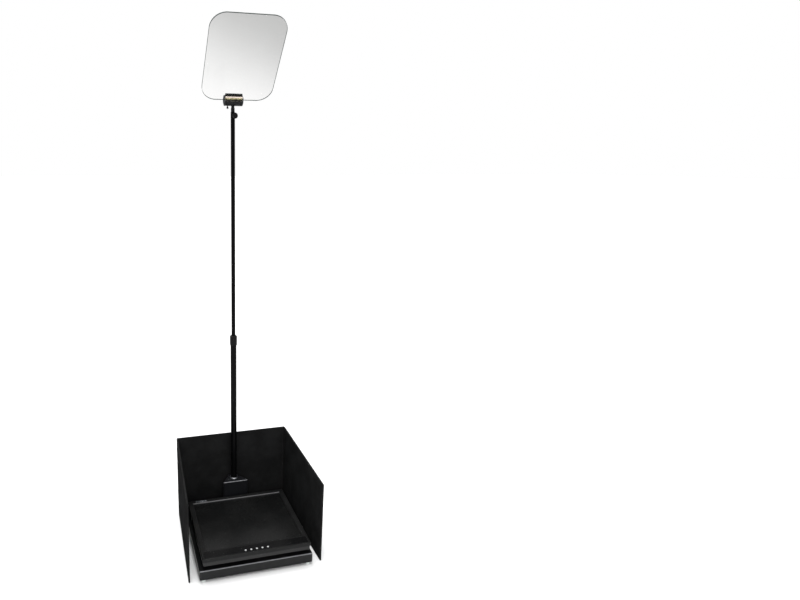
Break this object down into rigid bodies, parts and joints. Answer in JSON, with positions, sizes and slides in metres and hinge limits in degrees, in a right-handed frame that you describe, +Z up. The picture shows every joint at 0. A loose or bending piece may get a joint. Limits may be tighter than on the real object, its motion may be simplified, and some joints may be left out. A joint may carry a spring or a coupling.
{
  "type": "conference teleprompter stand",
  "caption": "Free-standing speech prompter: face-up monitor on a low steel base inside a three-panel hood, with a telescopic pole that carries a leaning half-mirror glass.",
  "frame": {"origin": "on the floor at the middle of the space the stand takes up", "axes": "+X to the right as the speaker sees it, +Y from the speaker to the back, +Z up along the pole"},
  "size_m": [0.5162, 0.458, 1.962],
  "materials": {
    "painted_steel": "satin black powder coat",
    "ballast_steel": "plain steel",
    "zinc_steel": "zinc plated",
    "black_screw": "black oxide",
    "foot_rubber": "matte grey-green rubber",
    "monitor_plastic": "fine moulded grain",
    "screen_gloss": "glossy dark screen",
    "lcd_metal": "plain",
    "lcd_panel": "panel and light guide in a thin metal frame",
    "circuit_green": "solder mask",
    "socket_plastic": "matte",
    "badge_metal": "satin",
    "button_pale": "pale plastic",
    "housing_paint": "satin blue-black powder coat",
    "ring_metal": "turned",
    "pole_gloss": "gloss black",
    "black_plastic": "moulded",
    "collet_plastic": "natural acetal",
    "clamp_black": "black anodised",
    "jaw_brass": "pale satin brass",
    "pad_rubber": "matte",
    "cap_grey": "grey anodised",
    "splitter_glass": "half-mirror coating",
    "hood_board": "leather-grain board",
    "hinge_metal": "black"
  },
  "bodies": {
    "base": {"base_plate": "ballast_steel", "base_plate_screws": "zinc_steel", "base_tray": "painted_steel", "button_board": "circuit_green", "foot_ring": "ring_metal", "foot_screws": "zinc_steel", "hinge_fixed_left": "hinge_metal", "hinge_fixed_right": "hinge_metal", "hinge_pins_left": "zinc_steel", "hinge_pins_right": "zinc_steel", "hood_back_panel": "hood_board", "hood_screws": "black_screw", "housing_screws": "black_screw", "lcd_module": "lcd_panel", "lower_tube": "pole_gloss", "main_board": "circuit_green", "monitor_bezel": "monitor_plastic", "monitor_chassis": "lcd_metal", "monitor_rear_cover": "monitor_plastic", "plain_badge": "badge_metal", "pole_collet": "collet_plastic", "pole_grub_screw": "zinc_steel", "pole_housing": "housing_paint", "pole_socket": "painted_steel", "power_board": "circuit_green", "power_socket": "socket_plastic", "rubber_feet": "foot_rubber", "screen_glass": "screen_gloss", "socket_screws": "zinc_steel", "vesa_plate": "painted_steel", "vesa_screws": "zinc_steel", "video_socket": "socket_plastic"},
    "mast": {"upper_tube": "pole_gloss", "slider_bush": "collet_plastic", "knob_boss": "pole_gloss"},
    "collar": {"twist_collar": "black_plastic"},
    "lock_knob": {"swivel_stud": "zinc_steel", "swivel_knob": "black_plastic"},
    "head": {"head_post": "clamp_black"},
    "glass_clamp": {"clamp_body": "clamp_black", "front_jaw": "jaw_brass", "jaw_screws": "zinc_steel", "front_pad": "pad_rubber", "rear_pad": "pad_rubber", "glass_seat": "pad_rubber", "tilt_pin": "zinc_steel", "beam_splitter": "splitter_glass", "end_cap_left": "cap_grey", "end_cap_right": "cap_grey"},
    "lever": {"tilt_lever": "cap_grey"},
    "left_wing": {"hood_left_panel": "hood_board", "hinge_moving_left": "hinge_metal"},
    "right_wing": {"hood_right_panel": "hood_board", "hinge_moving_right": "hinge_metal"},
    "button_1": {"menu_button_1": "button_pale"},
    "button_2": {"menu_button_2": "button_pale"},
    "button_3": {"menu_button_3": "button_pale"},
    "button_4": {"menu_button_4": "button_pale"},
    "button_5": {"menu_button_5": "button_pale"}
  },
  "joints": [
    {"name": "mast_extend", "type": "slide", "parent": "base", "child": "mast", "axis": [0, 0, 1], "range_m": [-0.6, 0.025]},
    {"name": "collar_twist", "type": "hinge", "parent": "base", "child": "collar", "pos_m": [0, 0.182, 0.79], "axis": [0, 0, 1], "range_deg": [0, 120]},
    {"name": "head_swivel", "type": "hinge", "parent": "mast", "child": "head", "pos_m": [0, 0.182, 1.68], "axis": [0, 0, 1], "range_deg": [-180, 180]},
    {"name": "knob_turn", "type": "hinge", "parent": "mast", "child": "lock_knob", "pos_m": [0, 0.182, 1.666], "axis": [0.3584, -0.9336, 0], "range_deg": [-360, 360]},
    {"name": "glass_tilt", "type": "hinge", "parent": "head", "child": "glass_clamp", "pos_m": [0, 0.182, 1.7135], "axis": [1, 0, 0], "range_deg": [-30, 30]},
    {"name": "lever_cam", "type": "hinge", "parent": "glass_clamp", "child": "lever", "pos_m": [-0.02, 0.182, 1.7135], "axis": [1, 0, 0], "range_deg": [-18, 18]},
    {"name": "left_wing_hinge", "type": "hinge", "parent": "base", "child": "left_wing", "pos_m": [-0.2376, 0.2266, 0.18], "axis": [0, 0, -1], "range_deg": [0, 90]},
    {"name": "right_wing_hinge", "type": "hinge", "parent": "base", "child": "right_wing", "pos_m": [0.2376, 0.2266, 0.18], "axis": [0, 0, 1], "range_deg": [0, 90]},
    {"name": "press_button_1", "type": "slide", "parent": "base", "child": "button_1", "axis": [0, 0, -1], "range_m": [0, 0.0008], "stiffness_N_per_m": 600},
    {"name": "press_button_2", "type": "slide", "parent": "base", "child": "button_2", "axis": [0, 0, -1], "range_m": [0, 0.0008], "stiffness_N_per_m": 600},
    {"name": "press_button_3", "type": "slide", "parent": "base", "child": "button_3", "axis": [0, 0, -1], "range_m": [0, 0.0008], "stiffness_N_per_m": 600},
    {"name": "press_button_4", "type": "slide", "parent": "base", "child": "button_4", "axis": [0, 0, -1], "range_m": [0, 0.0008], "stiffness_N_per_m": 600},
    {"name": "press_button_5", "type": "slide", "parent": "base", "child": "button_5", "axis": [0, 0, -1], "range_m": [0, 0.0008], "stiffness_N_per_m": 600}
  ]
}
